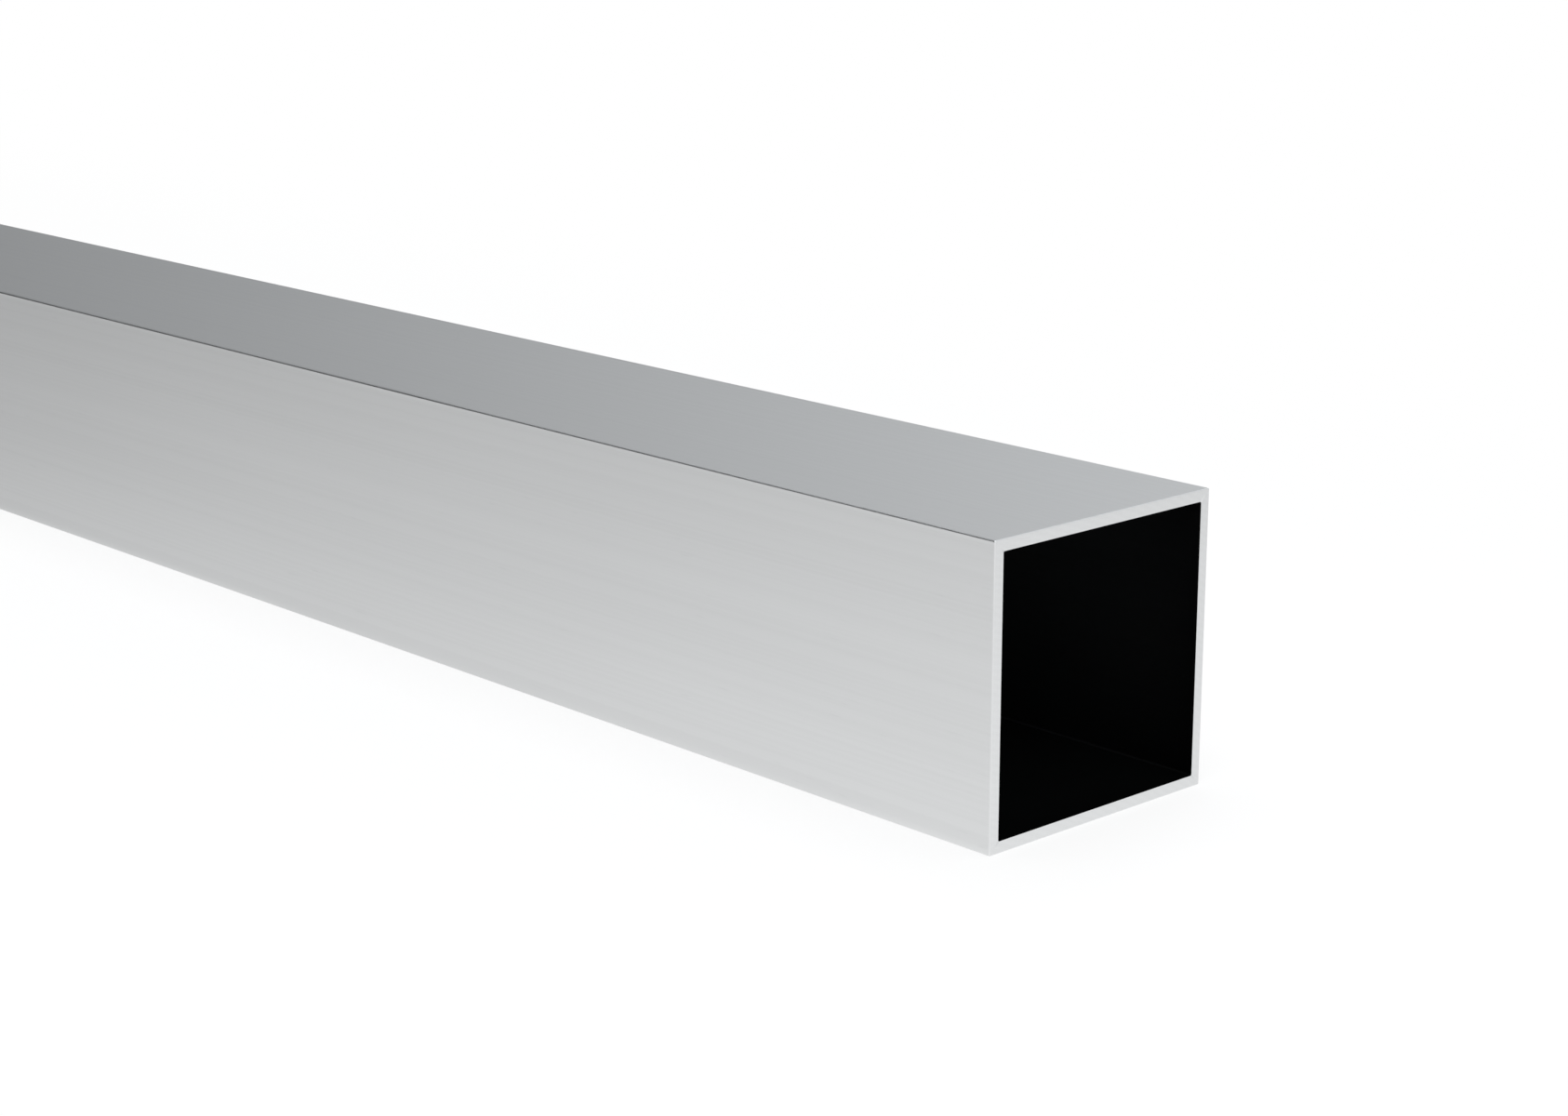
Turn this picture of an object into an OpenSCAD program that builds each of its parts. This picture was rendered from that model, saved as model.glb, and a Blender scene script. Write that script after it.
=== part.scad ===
// Square tube: one hollow extrusion, sawn to length at both ends.
// It lies along X on one of its flats. The origin is on that flat, under the middle
// of the length, with the side faces along Y and the sawn ends along X.

/* [Section] */
// Outside size across the flats, the same both ways
side = 50; // [20:1:120]
// Wall thickness, the same on all four sides
wall = 2; // [1.5:0.1:6]
// Radius along the four long outside corners
outside_corner_r = 0.25; // [0.1:0.05:1]
// Radius along the four long inside corners
inside_corner_r = 0.25; // [0.1:0.05:2]

/* [Length] */
// Length between the two sawn ends
length = 1000; // [100:10:6000]

/* [Sawn ends] */
// Radius that deburring leaves around the outside of each end
end_edge_r = 0.15; // [0.1:0.05:1]
// Bevel that deburring leaves around the mouth of the bore
mouth_bevel = 0.05; // [0.05:0.05:0.4]

/* [Hidden] */
bore = side - 2 * wall;
overrun = 1;
$fn = 64;

// Rectangle centred on the origin, with its corners rounded
module rounded_rectangle(x, y, r) {
    square([x - 2 * r, y], center = true);
    square([x, y - 2 * r], center = true);
    for (i = [-1, 1], j = [-1, 1])
        translate([i * (x / 2 - r), j * (y / 2 - r)])
            circle(r = r);
}

// Lays an outline drawn across Y and Z along the length
module along_tube(run) {
    rotate([90, 0, 90])
        linear_extrude(height = run, center = true)
            children();
}

// Solid bar: the rounded section, cut at its ends by two rounded outlines that cross
module bar() {
    intersection() {
        along_tube(length)
            rounded_rectangle(side, side, outside_corner_r);
        linear_extrude(height = side + 2 * overrun, center = true)
            rounded_rectangle(length, side, end_edge_r);
        rotate([90, 0, 0])
            linear_extrude(height = side + 2 * overrun, center = true)
                rounded_rectangle(length, side, end_edge_r);
    }
}

// Outline of the bevel cutter: widest past the end, and closing at 45 degrees
module bevel_outline() {
    mouth = bore / 2 + mouth_bevel;
    polygon([
        [length / 2 + overrun, mouth + overrun],
        [length / 2 - mouth, 0],
        [length / 2 + overrun, -mouth - overrun]
    ]);
}

// Four-sided cutter for the mouth at the +X end
module mouth_cutter() {
    intersection() {
        linear_extrude(height = side, center = true)
            bevel_outline();
        rotate([90, 0, 0])
            linear_extrude(height = side, center = true)
                bevel_outline();
    }
}

module square_tube() {
    color("silver")
        translate([0, 0, side / 2])
            difference() {
                bar();
                along_tube(length + 2 * overrun)
                    rounded_rectangle(bore, bore, inside_corner_r);
                mouth_cutter();
                mirror([1, 0, 0])
                    mouth_cutter();
            }
}

square_tube();
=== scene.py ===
import itertools
import math
import bmesh
import bpy
from mathutils import Matrix, Vector


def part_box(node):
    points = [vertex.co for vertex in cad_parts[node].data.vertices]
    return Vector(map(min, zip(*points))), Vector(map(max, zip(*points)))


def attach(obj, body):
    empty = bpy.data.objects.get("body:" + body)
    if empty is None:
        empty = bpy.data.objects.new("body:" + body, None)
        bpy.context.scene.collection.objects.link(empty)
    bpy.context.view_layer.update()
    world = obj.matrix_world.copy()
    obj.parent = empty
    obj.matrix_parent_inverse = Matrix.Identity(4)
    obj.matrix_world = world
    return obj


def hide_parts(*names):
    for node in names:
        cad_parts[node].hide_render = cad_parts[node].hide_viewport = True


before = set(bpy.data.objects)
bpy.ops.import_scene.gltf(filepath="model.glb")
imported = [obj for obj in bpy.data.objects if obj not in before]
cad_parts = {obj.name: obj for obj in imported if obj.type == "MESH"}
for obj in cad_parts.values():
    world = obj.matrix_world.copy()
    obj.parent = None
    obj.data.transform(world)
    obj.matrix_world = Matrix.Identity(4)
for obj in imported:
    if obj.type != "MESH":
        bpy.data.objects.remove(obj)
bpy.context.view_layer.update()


# Square tube: one length of aluminium hollow section. It is pushed hot through a die, pulled
# straight and left in its mill finish. A saw cuts both ends square, and a light deburring
# rounds their outer edges and breaks the mouths of the bore. The bore's near black colour
# is painted shade.
low, high = (Vector(corner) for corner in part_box("square_tube"))
middle = (low + high) / 2
length = high.x - low.x
side = high.z - low.z
wall = 0.002
outside_corner_r = 0.00025
inside_corner_r = 0.00025
end_edge_r = 0.00015
mouth_bevel = 0.00005
corner_steps = 8
body_stretches = 20
MILL, SAWN, BORE = range(3)


def square_ring(mesh, x, half, corner_r):
    """Adds a square of points with rounded corners, round the tube's axis at x."""
    ring = []
    for quarter, (y_way, z_way) in enumerate(((1, 1), (-1, 1), (-1, -1), (1, -1))):
        for step in range(corner_steps + 1):
            turn = math.radians(90 * (quarter + step / corner_steps))
            y = y_way * (half - corner_r) + corner_r * math.cos(turn)
            z = z_way * (half - corner_r) + corner_r * math.sin(turn)
            ring.append(mesh.verts.new((middle.x + x, middle.y + y, middle.z + z)))
    return ring


def tube_profile():
    """The rings of the tube's whole surface in order, each with the finish that follows it."""
    half_length, half_side, half_bore = length / 2, side / 2, side / 2 - wall
    straight = half_length - end_edge_r
    outside = []
    for step in range(corner_steps + 1):
        turn = math.radians(90 * (1 - step / corner_steps))
        inset = end_edge_r * (1 - math.cos(turn))
        x = -straight - end_edge_r * math.sin(turn)
        outside.append((x, half_side - inset, outside_corner_r - inset, MILL))
    for stretch in range(1, body_stretches):
        x = straight * (2 * stretch / body_stretches - 1)
        outside.append((x, half_side, outside_corner_r, MILL))
    for x, half, corner_r, finish in outside[corner_steps::-1]:
        outside.append((-x, half, corner_r, finish))
    outside[-1] = outside[-1][:3] + (SAWN,)
    mouth = (half_bore + mouth_bevel, inside_corner_r + mouth_bevel)
    inside = [(half_length, *mouth, BORE)]
    for stretch in range(body_stretches + 1):
        x = (half_length - mouth_bevel) * (1 - 2 * stretch / body_stretches)
        inside.append((x, half_bore, inside_corner_r, BORE))
    inside.append((-half_length, *mouth, SAWN))
    return outside + inside


def texture_bands(profile):
    """Where the band after each ring lies on the texture: the two long edges of the strip
    that holds its run of one finish, and its own start and end in that run."""
    skin, front_rim, bore, back_rim = (0.005, 0.66), (0.67, 0.70), (0.75, 0.995), (0.71, 0.74)
    least_width = 0.002
    pairs = zip(profile, profile[1:] + profile[:1])
    widths = [max(math.dist(ring[:2], after[:2]), least_width) for ring, after in pairs]
    bands, first = [], 0
    runs = itertools.groupby(finish for *_, finish in profile)
    for strip, (_, run) in zip((skin, front_rim, bore, back_rim), runs):
        last = first + len(list(run))
        whole = sum(widths[first:last])
        edges = [sum(widths[first:ring]) / whole for ring in range(first, last + 1)]
        bands += [(strip, start, end) for start, end in zip(edges, edges[1:])]
        first = last
    return bands


def way_round(point):
    """How far round the outline a ring's point lies on the texture, with the corners wide."""
    corner_share = 0.06
    quarter, step = divmod(point, corner_steps + 1)
    return (quarter + corner_share * step / corner_steps) / 4


def texture_spot(finish, strip, turned, moved):
    """A point of the texture. The rims' strips run round the tube, the others along it."""
    margin = 0.005
    across, up = (turned, moved) if finish == SAWN else (moved, 1 - turned)
    low_edge, high_edge = strip
    return margin + (1 - 2 * margin) * across, low_edge + (high_edge - low_edge) * up


def tube_mesh():
    """Joins each ring to the next, and the last to the first, into one closed skin."""
    mesh = bmesh.new()
    texture = mesh.loops.layers.uv.new("OFBake")
    profile = tube_profile()
    rings = [square_ring(mesh, *ring[:3]) for ring in profile]
    bands = zip(profile, texture_bands(profile), rings, rings[1:] + rings[:1])
    for (*_, finish), (strip, start, end), ring, after in bands:
        for point in range(len(ring)):
            beside = (point + 1) % len(ring)
            face = mesh.faces.new((ring[point], ring[beside], after[beside], after[point]))
            face.material_index = finish
            face.smooth = True
            near, far = way_round(point), way_round(point + 1)
            for corner, (turned, moved) in zip(
                face.loops, ((near, start), (far, start), (far, end), (near, end))
            ):
                corner[texture].uv = texture_spot(finish, strip, turned, moved)
    made = bpy.data.meshes.new("aluminium_tube")
    mesh.to_mesh(made)
    mesh.free()
    return made


class Shade:
    """A socket in a material's nodes. A sum written on it adds the Math node for it."""

    def __init__(self, socket):
        self.socket = socket

    @staticmethod
    def node(tree, kind, settings=None, sockets=None, output=0):
        """Adds a node: its settings first, then the values or links of its sockets."""
        node = tree.nodes.new("ShaderNode" + kind)
        for name, value in (settings or {}).items():
            setattr(node, name, value)
        for name, value in (sockets or {}).items():
            if isinstance(value, Shade):
                tree.links.new(value.socket, node.inputs[name])
            else:
                node.inputs[name].default_value = value
        return Shade(node.outputs[output]) if node.outputs else node

    def math(self, operation, *others):
        """Adds a Math node that takes this value first and then the others."""
        terms = dict(enumerate((self, *others)))
        return Shade.node(self.socket.id_data, "Math", {"operation": operation}, terms)

    def __add__(self, other):
        return self.math("ADD", other)

    __radd__ = __add__

    def __sub__(self, other):
        return self.math("SUBTRACT", other)

    def __rsub__(self, other):
        return self.math("MULTIPLY_ADD", -1, other)

    def __mul__(self, other):
        return self.math("MULTIPLY", other)

    __rmul__ = __mul__

    def __abs__(self):
        return self.math("ABSOLUTE")

    def rise(self, start, end):
        """A mask: 0 up to start and 1 from end on, with a smooth rise between them."""
        sockets = {"Value": self, "From Min": start, "From Max": end}
        settings = {"interpolation_type": "SMOOTHSTEP"}
        return Shade.node(self.socket.id_data, "MapRange", settings, sockets)


def mix_colour(tree, factor, a, b):
    """a where factor is 0 and b where it is 1. A Mix node's colours are its inputs 6 and 7."""
    return Shade.node(tree, "Mix", {"data_type": "RGBA"}, {0: factor, 6: a, 7: b}, output=2)


def place_on_tube(tree):
    """The place of a point from the middle of the tube, in metres."""
    place = Shade.node(tree, "TexCoord", output="Object")
    return Shade.node(
        tree, "VectorMath", {"operation": "SUBTRACT"}, {0: place, 1: middle}
    )


def along_across_up(tree, place):
    """The three coordinates of a place."""
    return [Shade.node(tree, "SeparateXYZ", None, {0: place}, output=axis) for axis in "XYZ"]


def drawn_noise(tree, place, along, across, detail):
    """Noise with grains about along by across metres, drawn out along the tube."""
    grain = (1 / along, 1 / across, 1 / across)
    drawn = Shade.node(tree, "VectorMath", {"operation": "MULTIPLY"}, {0: place, 1: grain})
    return Shade.node(tree, "TexNoise", None, {"Vector": drawn, "Scale": 1, "Detail": detail})


def new_finish(name, metallic=1.0, specular=0.5):
    """A material with these even settings, its node tree and its shader."""
    material = bpy.data.materials.new(name)
    material.use_nodes = True
    tree = material.node_tree
    shader = tree.nodes["Principled BSDF"]
    shader.inputs["Metallic"].default_value = metallic
    shader.inputs["Specular IOR Level"].default_value = specular
    return material, tree, shader


def feed_shader(tree, shader, colour, roughness, height, relief):
    """Feeds a shader its colour, its roughness and a bump of height times relief metres."""
    bump = Shade.node(tree, "Bump", None, {"Height": height, "Distance": relief})
    for name, shade in (("Base Color", colour), ("Roughness", roughness), ("Normal", bump)):
        tree.links.new(shade.socket, shader.inputs[name])


def mill_finish():
    """Fine die lines along the tube, soft dull patches, flecks of pick-up, worn long edges and a
    painted highlight on the end edges.
    """
    bright, dull = (0.788, 0.799, 0.804, 1), (0.758, 0.768, 0.772, 1)
    # Paler colour of the painted highlight on the rounded end edges.
    end_highlight_colour = (0.84, 0.851, 0.856, 1)
    rubbed_width = 0.0014
    even_tone, line_tone, band_tone, patch_tone = 0.15, 0.40, 0.12, 0.18
    fleck_tone, rub_tone = -0.12, 0.10
    even_roughness, tone_roughness, fleck_roughness, rub_roughness = 0.46, -0.08, 0.05, -0.06
    band_height, fleck_height, relief = 0.4, -0.6, 0.0000025
    material, tree, shader = new_finish("mill_finish")
    place = place_on_tube(tree)
    lines = drawn_noise(tree, place, along=1.5, across=0.0006, detail=3)
    bands = drawn_noise(tree, place, along=2.5, across=0.008, detail=2)
    patches = drawn_noise(tree, place, along=0.11, across=0.03, detail=3)
    flecks = drawn_noise(tree, place, along=0.007, across=0.0004, detail=1)
    flecks = flecks.rise(start=0.72, end=0.82)
    x, y, z = along_across_up(tree, place)
    to_corner = abs(y).math("MINIMUM", abs(z))
    rub = to_corner.rise(side / 2 - rubbed_width, side / 2) * patches.rise(start=0.35, end=0.65)
    # Painted highlight: the rounded end edges are mixed towards a paler colour.
    end_edge_highlight = abs(x).rise(length / 2 - 1.5 * end_edge_r, length / 2 - end_edge_r)
    tone = even_tone + line_tone * lines + band_tone * bands + patch_tone * patches
    tone = tone + fleck_tone * flecks + rub_tone * rub
    colour = mix_colour(tree, tone.rise(start=0.30, end=0.70), dull, bright)
    colour = mix_colour(tree, end_edge_highlight, colour, end_highlight_colour)
    roughness = even_roughness + tone_roughness * tone
    roughness = roughness + fleck_roughness * flecks + rub_roughness * rub
    height = lines + band_height * bands + fleck_height * flecks
    feed_shader(tree, shader, colour, roughness, height, relief)
    return material


def sawn_finish():
    """The arcs that the teeth of a round blade leave, rubbed by the deburring."""
    bright, dull = (0.797, 0.808, 0.813, 1), (0.762, 0.772, 0.776, 1)
    blade_centre = (0, -0.07, -0.16)
    tooth_pitch, feed_pitch = 0.00031, 0.0012
    tooth_waver, feed_waver = 9, 5
    tooth_tone, feed_tone, grit_tone = 0.14, 0.10, 0.5
    even_roughness, tone_roughness, relief = 0.44, -0.06, 0.000002
    material, tree, shader = new_finish("sawn_end")
    place = place_on_tube(tree)
    across = Shade.node(
        tree, "VectorMath", {"operation": "MULTIPLY"}, {0: place, 1: (0, 1, 1)}
    )
    reach = Shade.node(
        tree, "VectorMath", {"operation": "DISTANCE"}, {0: across, 1: blade_centre}, "Value"
    )
    waver = drawn_noise(tree, place, along=0.02, across=0.006, detail=3)
    grit = drawn_noise(tree, place, along=0.0005, across=0.0005, detail=2)
    teeth = (reach * (2 * math.pi / tooth_pitch) + tooth_waver * waver).math("SINE") * waver
    feed = (reach * (2 * math.pi / feed_pitch) + feed_waver * waver).math("SINE")
    tone = 0.5 + tooth_tone * teeth + feed_tone * feed + grit_tone * (grit - 0.5)
    colour = mix_colour(tree, tone.rise(start=0.1, end=0.9), dull, bright)
    roughness = even_roughness + tone_roughness * tone
    feed_shader(tree, shader, colour, roughness, teeth + feed + grit, relief)
    return material


def bore_painted_shade():
    """Painted shade: near black with faint die lines, and painted light that makes it paler deep
    in, high up and in the corners.
    """
    # Painted shade: near black at the mouth, up to this grey where painted light is added.
    black, grey = (0, 0, 0, 1), (0.0194, 0.0206, 0.0214, 1)
    mouth_tone, deep_gain, high_gain, corner_gain, uneven = 0.1, 18, 24, 1.5, 0.3
    even_roughness, patch_roughness, relief = 0.62, -0.14, 0.00001
    half_bore = side / 2 - wall
    material, tree, shader = new_finish("dark_bore", metallic=0.0, specular=0.02)
    place = place_on_tube(tree)
    lines = drawn_noise(tree, place, along=1.0, across=0.0009, detail=3)
    patches = drawn_noise(tree, place, along=0.05, across=0.02, detail=3)
    x, y, z = along_across_up(tree, place)
    to_corner = abs(y).math("MINIMUM", abs(z))
    # Painted highlight along the inner corners of the bore.
    corner = to_corner.rise(half_bore - 1.5 * inside_corner_r, half_bore - 0.5 * inside_corner_r)
    # Painted shade and light: darkest at the mouth, paler deeper in and higher up.
    tone = (mouth_tone + deep_gain * (length / 2 - abs(x))) * (1 + high_gain * z)
    tone = tone * (1 + corner_gain * corner) * (1 - uneven + uneven * lines + uneven * patches)
    colour = mix_colour(tree, tone, black, grey)
    roughness = even_roughness + patch_roughness * patches
    feed_shader(tree, shader, colour, roughness, lines, relief)
    return material


tube = bpy.data.objects.new("aluminium_tube", tube_mesh())
bpy.context.scene.collection.objects.link(tube)
for finish in (mill_finish(), sawn_finish(), bore_painted_shade()):
    tube.data.materials.append(finish)
evened = tube.modifiers.new("even_flats", "WEIGHTED_NORMAL")
evened.weight = 100
evened.keep_sharp = False
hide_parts("square_tube")
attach(tube, "root")


# Studio floor: a wide matt white board that the tube lies on. The camera sees it white, with
# the tube's soft shadow. The metal sees a wide painted pool of light on it, off the near corner.
floor_reach = 6.0
floor_corners = [
    (x * floor_reach, y * floor_reach, low.z) for x, y in ((-1, -1), (1, -1), (1, 1), (-1, 1))
]
floor_mesh = bpy.data.meshes.new("studio_floor")
floor_mesh.from_pydata(floor_corners, [], [(0, 1, 2, 3)])
floor = bpy.data.objects.new("studio_floor", floor_mesh)
bpy.context.scene.collection.objects.link(floor)


def floor_board():
    """White with soft shadows to the camera, a wide painted pool of light to the metal."""
    dim, gain = 0.581, 0.567
    pool_centre, pool_reach = (0.8 * length, -0.2, 0), 1.0
    shadow_depth, shadow_start, shadow_end = 0.2, 0.05, 0.35
    board_white = (0.9, 0.9, 0.9, 1)
    material = bpy.data.materials.new("studio_floor")
    material.use_nodes = True
    tree = material.node_tree
    tree.nodes.clear()
    spot = Shade.node(tree, "NewGeometry", output="Position")
    off_pool = Shade.node(
        tree, "VectorMath", {"operation": "DISTANCE"}, {0: spot, 1: pool_centre}, "Value"
    )
    # Painted pool of light: a glow that only the metal sees, brightest off the near corner.
    pool = dim + gain * off_pool.rise(pool_reach, 0)
    mirrored = Shade.node(tree, "Emission", None, {"Color": pool.math("MINIMUM", 1)})

    x, y, z = along_across_up(tree, spot)
    past_end = (abs(x) - length / 2).math("MAXIMUM", 0)
    away = (past_end * past_end + y * y).math("SQRT")
    shadow = shadow_depth - shadow_depth * away.rise(shadow_start, shadow_end)
    board = Shade.node(tree, "BsdfDiffuse", None, {"Color": board_white})
    white = Shade.node(tree, "Emission", None, {"Strength": 1})
    seen = Shade.node(tree, "MixShader", None, {0: shadow, 1: white, 2: board})
    camera_ray = Shade.node(tree, "LightPath", output="Is Camera Ray")
    glossy_ray = Shade.node(tree, "LightPath", output="Is Glossy Ray")
    glass_ray = Shade.node(tree, "LightPath", output="Is Transmission Ray")
    shader = Shade.node(tree, "MixShader", None, {0: camera_ray, 1: board, 2: seen})
    mirror_ray = glossy_ray.math("MAXIMUM", glass_ray)
    shader = Shade.node(tree, "MixShader", None, {0: mirror_ray, 1: shader, 2: mirrored})
    Shade.node(tree, "OutputMaterial", None, {"Surface": shader})
    return material


floor_mesh.materials.append(floor_board())


# Studio light: a white room. Its walls behind and to the right of the tube are lit, and the
# metal sees the wall in front dim. One large soft lamp hangs over the tube, and another
# stands off its near corner.
cool_white = (0.984, 1, 1.0165)


def room_walls():
    """Plain white to the camera, and a wide soft rise towards the lit corner to the rest."""
    dim, gain = 0.05, 0.652
    rise_start, rise_end = -0.5, 0.4
    lit_corner = (math.cos(math.radians(45)), math.sin(math.radians(45)), 0)
    room = bpy.data.worlds.new("studio")
    room.use_nodes = True
    tree = room.node_tree
    way = Shade.node(tree, "TexCoord", output="Generated")
    facing = Shade.node(
        tree, "VectorMath", {"operation": "DOT_PRODUCT"}, {0: way, 1: lit_corner}, "Value"
    )
    walls = dim + gain * facing.rise(rise_start, rise_end)
    camera_ray = Shade.node(tree, "LightPath", output="Is Camera Ray")
    strength = walls + camera_ray * (1 - walls)
    colour = mix_colour(tree, camera_ray, (*cool_white, 1), (1, 1, 1, 1))
    background = tree.nodes["Background"]
    for name, shade in (("Color", colour), ("Strength", strength)):
        tree.links.new(shade.socket, background.inputs[name])
    return room


bpy.context.scene.world = room_walls()


def soft_lamp(name, azimuth, elevation, width, power, distance=2.2):
    """A square lamp aimed at the front half of the tube. Azimuth 0 is along X, 90 along Y."""
    aim = middle + Vector((0.3 * length, 0, 0))
    turn, lift = math.radians(azimuth), math.radians(elevation)
    level = math.cos(lift)
    way = Vector((level * math.cos(turn), level * math.sin(turn), math.sin(lift)))
    lamp = bpy.data.lights.new(name, "AREA")
    lamp.shape = "SQUARE"
    lamp.size = width
    lamp.energy = power
    lamp.color = cool_white
    stand = bpy.data.objects.new(name, lamp)
    stand.location = aim + distance * way
    stand.rotation_euler = (-way).to_track_quat("-Z", "Y").to_euler()
    bpy.context.scene.collection.objects.link(stand)


soft_lamp("overhead_lamp", azimuth=0, elevation=90, width=1.6, power=26)
soft_lamp("corner_lamp", azimuth=311, elevation=56, width=1.6, power=20)


# Camera: at the height of a bench, off the near end, looking a little down along the tube.
# Its place, turn and tilt are worked out from the corners of the tube in the photograph.
photo_width = 1686
focal_in_pixels = 3272.0
from_middle = Vector((0.80012, -0.34743, 0.13828))
turn, tilt = math.radians(47.042), math.radians(14.778)
ahead = Vector((-math.sin(turn) * math.cos(tilt), math.cos(turn) * math.cos(tilt), -math.sin(tilt)))
across = Vector((math.cos(turn), math.sin(turn), 0))
above = across.cross(ahead)
camera = bpy.data.cameras.new("camera")
camera.sensor_width = 36
camera.lens = focal_in_pixels / photo_width * camera.sensor_width
camera.clip_start = 0.01
viewer = bpy.data.objects.new("camera", camera)
viewer.matrix_world = Matrix((across, above, -ahead)).transposed().to_4x4()
viewer.location = middle + from_middle
bpy.context.scene.collection.objects.link(viewer)
bpy.context.scene.camera = viewer
bpy.context.scene.view_settings.view_transform = "Standard"
